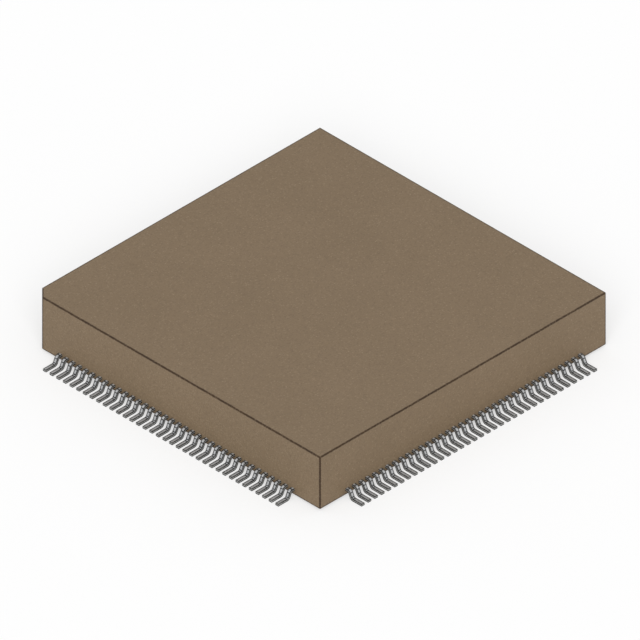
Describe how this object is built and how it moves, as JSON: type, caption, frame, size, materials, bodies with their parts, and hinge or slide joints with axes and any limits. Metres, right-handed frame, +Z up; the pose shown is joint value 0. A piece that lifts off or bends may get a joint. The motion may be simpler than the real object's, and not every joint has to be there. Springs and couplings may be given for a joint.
{
  "type": "microprocessor chip",
  "caption": "Square moulded surface-mount microprocessor with a bare top, a clipped index corner and a row of gull-wing leads along every side.",
  "frame": {"origin": "centre of the seating plane, level with the undersides of the lead feet", "axes": "+Z up through the bare top face; the rows of leads leave along -Y, +X, +Y and -X; the clipped index corner is at -X, +Y"},
  "size_m": [0.0312, 0.0312, 0.0046],
  "materials": {
    "moulding_compound": "matte",
    "tinned_lead": "satin",
    "lead_frame": "satin",
    "die_attach": "matte",
    "silicon": "gloss",
    "polyimide_tape": "satin",
    "bond_wire": "polished"
  },
  "bodies": {
    "root": {"package_body": "moulding_compound", "die_pad": "lead_frame", "die_attach": "die_attach", "silicon_die": "silicon", "lead_lock_tape": "polyimide_tape", "leads_south": "tinned_lead", "leads_east": "tinned_lead", "leads_north": "tinned_lead", "leads_west": "tinned_lead", "bond_wires_south": "bond_wire", "bond_wires_east": "bond_wire", "bond_wires_north": "bond_wire", "bond_wires_west": "bond_wire"}
  },
  "joints": []
}
